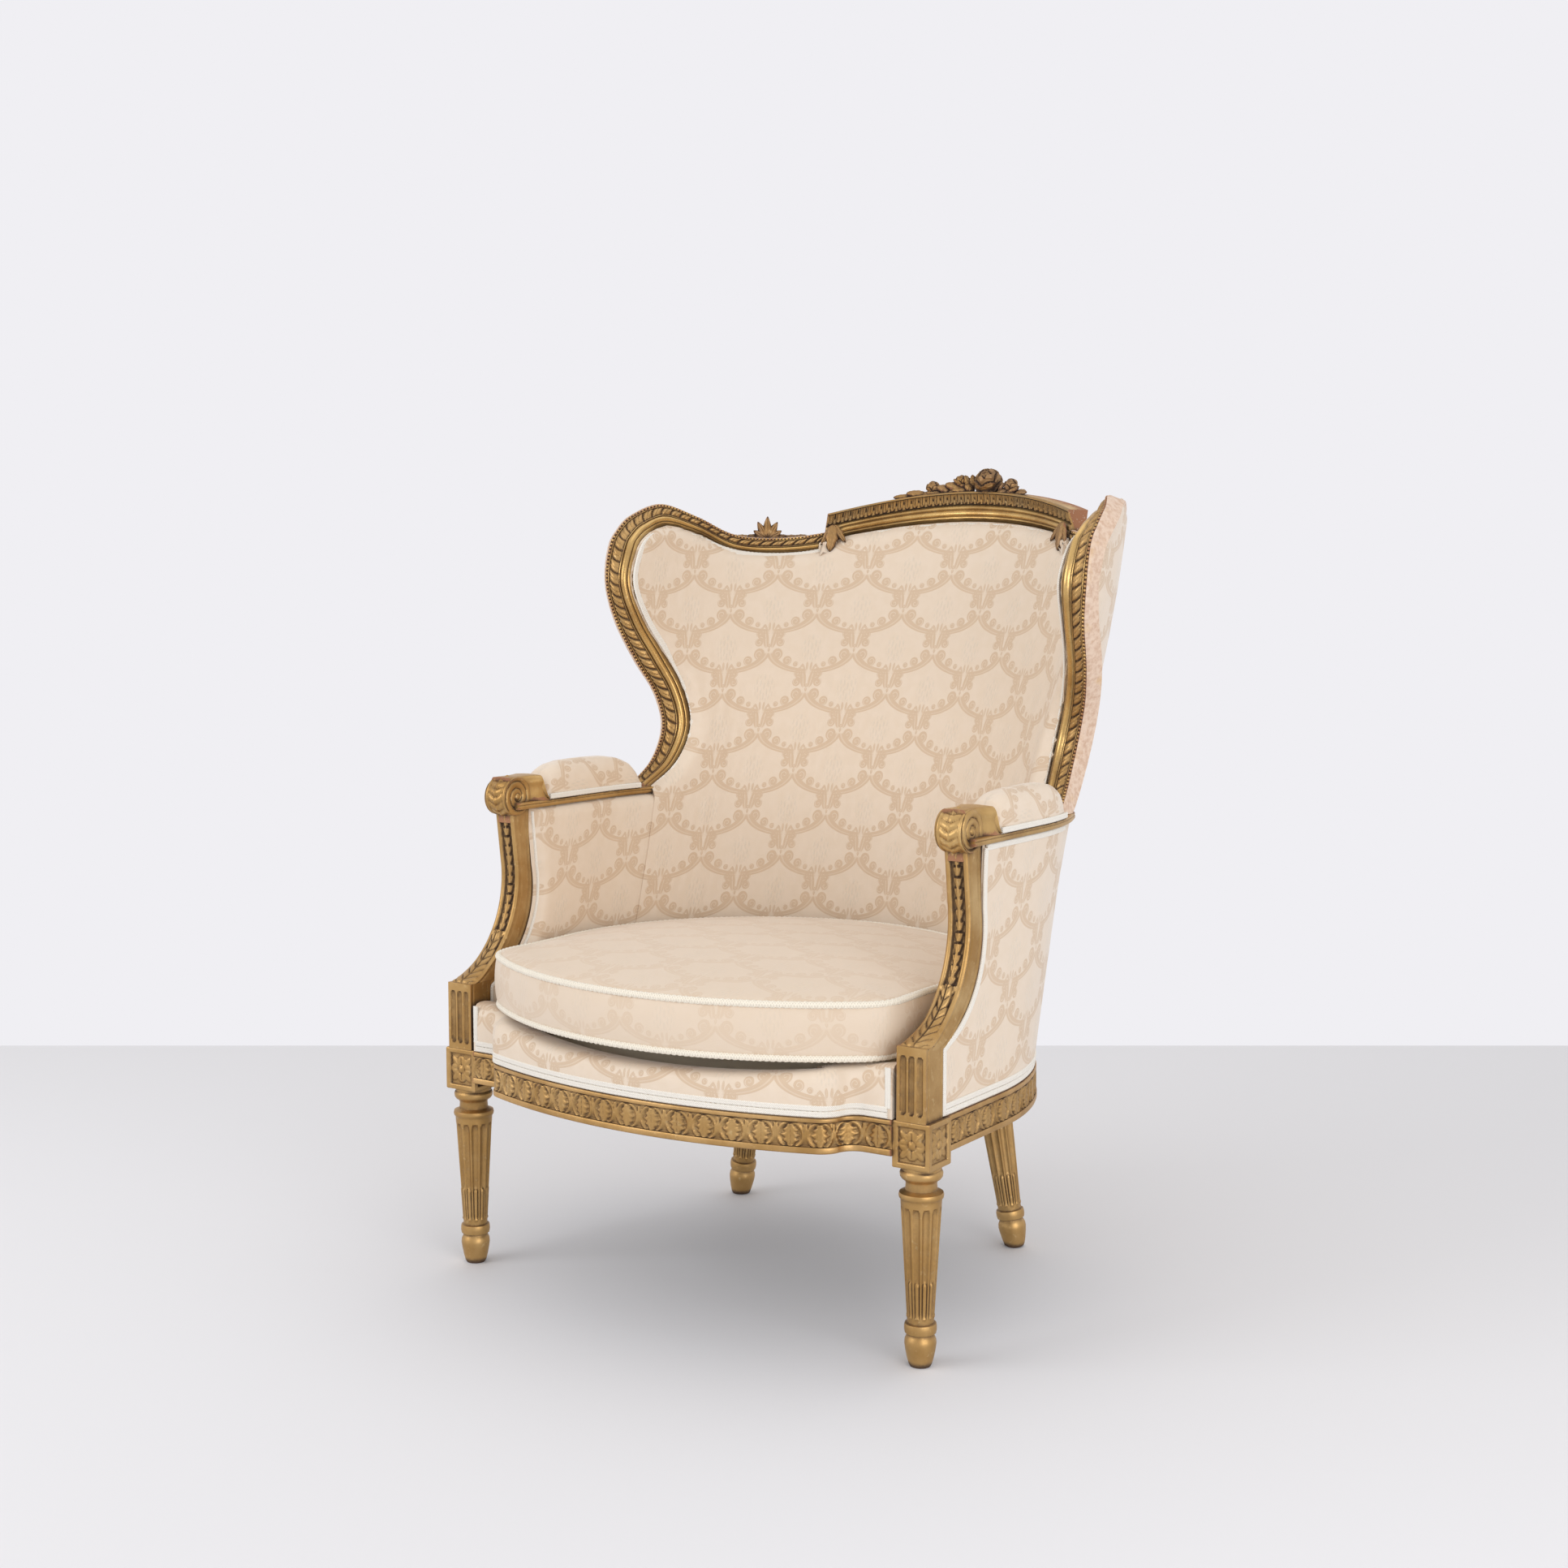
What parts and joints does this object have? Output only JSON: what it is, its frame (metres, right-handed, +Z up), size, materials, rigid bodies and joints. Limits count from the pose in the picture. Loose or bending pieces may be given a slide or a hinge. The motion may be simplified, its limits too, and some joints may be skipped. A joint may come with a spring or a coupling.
{
  "type": "bergere chair",
  "caption": "Wing-back bergere armchair with a carved and gilded show-wood frame, a horseshoe back, padded arms and a loose seat cushion in pale damask.",
  "frame": {"origin": "middle of the footprint on the floor, under the middle of the overall width and depth", "axes": "+Z up, +X to the right of someone who looks at the front, -Y towards the front"},
  "size_m": [0.7766, 0.8644, 1.0499],
  "materials": {
    "gilt_wood": "worn water gilding over red bole",
    "frame_wood": "bare beech",
    "damask": "ivory damask with a beige ogee pattern",
    "webbing": "woven jute",
    "lining": "plain cotton"
  },
  "bodies": {
    "chair_frame": {"arm_pad_left": "damask", "arm_pad_right": "damask", "arm_rail_left": "gilt_wood", "arm_rail_right": "gilt_wood", "arm_stile_left": "frame_wood", "arm_stile_right": "frame_wood", "arm_support_left": "gilt_wood", "arm_support_right": "gilt_wood", "back_rail": "gilt_wood", "back_stile_left": "frame_wood", "back_stile_right": "frame_wood", "back_tack_rail": "frame_wood", "crest_carving": "gilt_wood", "crest_rail": "gilt_wood", "dust_cover": "lining", "frame_tenons": "frame_wood", "front_border": "damask", "front_corner_block_left": "frame_wood", "front_corner_block_right": "frame_wood", "front_leg_left": "gilt_wood", "front_leg_right": "gilt_wood", "front_rail": "gilt_wood", "inner_back_pad": "damask", "inner_side_pad_left": "damask", "inner_side_pad_right": "damask", "outer_back_cover": "damask", "outer_side_cover_left": "damask", "outer_side_cover_right": "damask", "rear_corner_block_left": "frame_wood", "rear_corner_block_right": "frame_wood", "rear_leg_left": "gilt_wood", "rear_leg_right": "gilt_wood", "seat_platform": "damask", "seat_webbing": "webbing", "side_rail_left": "gilt_wood", "side_rail_right": "gilt_wood", "side_tack_rail_left": "frame_wood", "side_tack_rail_right": "frame_wood", "wing_frame_left": "gilt_wood", "wing_frame_right": "gilt_wood", "wing_palmette_left": "gilt_wood", "wing_palmette_right": "gilt_wood"},
    "cushion": {"seat_cushion": "damask"}
  },
  "joints": [
    {"name": "cushion_lift", "type": "slide", "parent": "chair_frame", "child": "cushion", "axis": [0, 0, 1], "range_m": [0, 0.31]}
  ]
}
